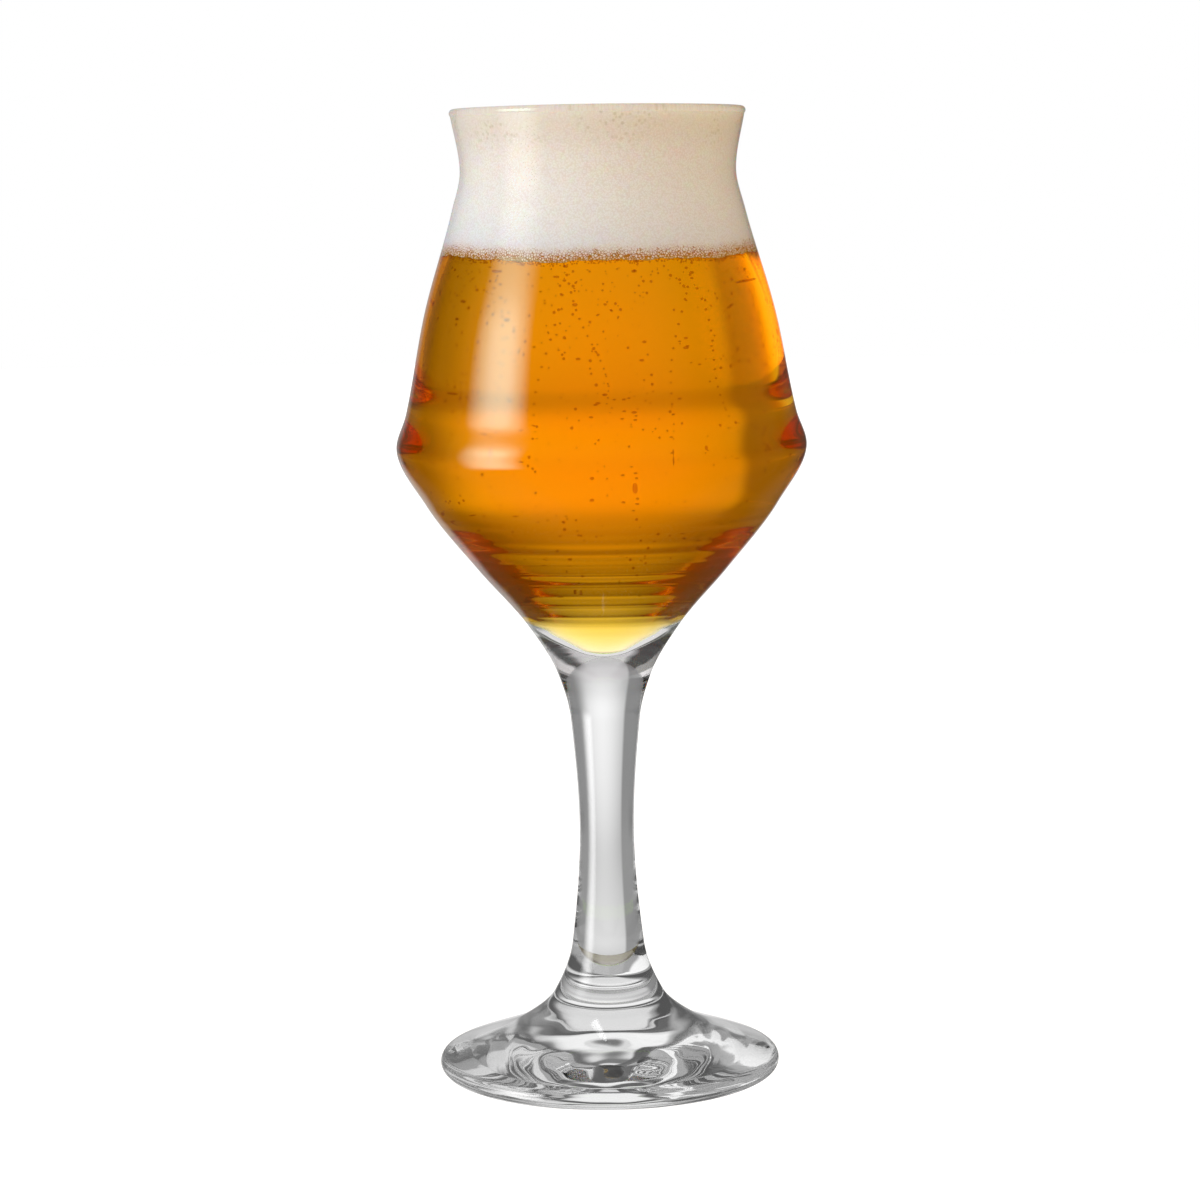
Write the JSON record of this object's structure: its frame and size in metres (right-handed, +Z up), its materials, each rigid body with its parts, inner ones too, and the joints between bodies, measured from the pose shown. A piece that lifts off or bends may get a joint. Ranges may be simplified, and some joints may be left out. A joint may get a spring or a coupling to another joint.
{
  "type": "tulip beer glass",
  "caption": "Stemmed tulip beer glass with a round foot, a drawn stem and a ridged bowl that narrows to a flared mouth, filled with amber beer under a cream foam head.",
  "frame": {"origin": "centre of the plane that the foot stands on", "axes": "+Z up along the axis of the stem and bowl; the glass is round, so X and Y are free"},
  "size_m": [0.0878, 0.0878, 0.208],
  "materials": {
    "glass": "clear fire-polished soda-lime glass",
    "beer": "clear amber liquid",
    "foam": "matt cream foam of fine bubbles"
  },
  "bodies": {
    "root": {"foot": "glass", "stem": "glass", "bowl": "glass", "beer": "beer", "foam_head": "foam"}
  },
  "joints": []
}
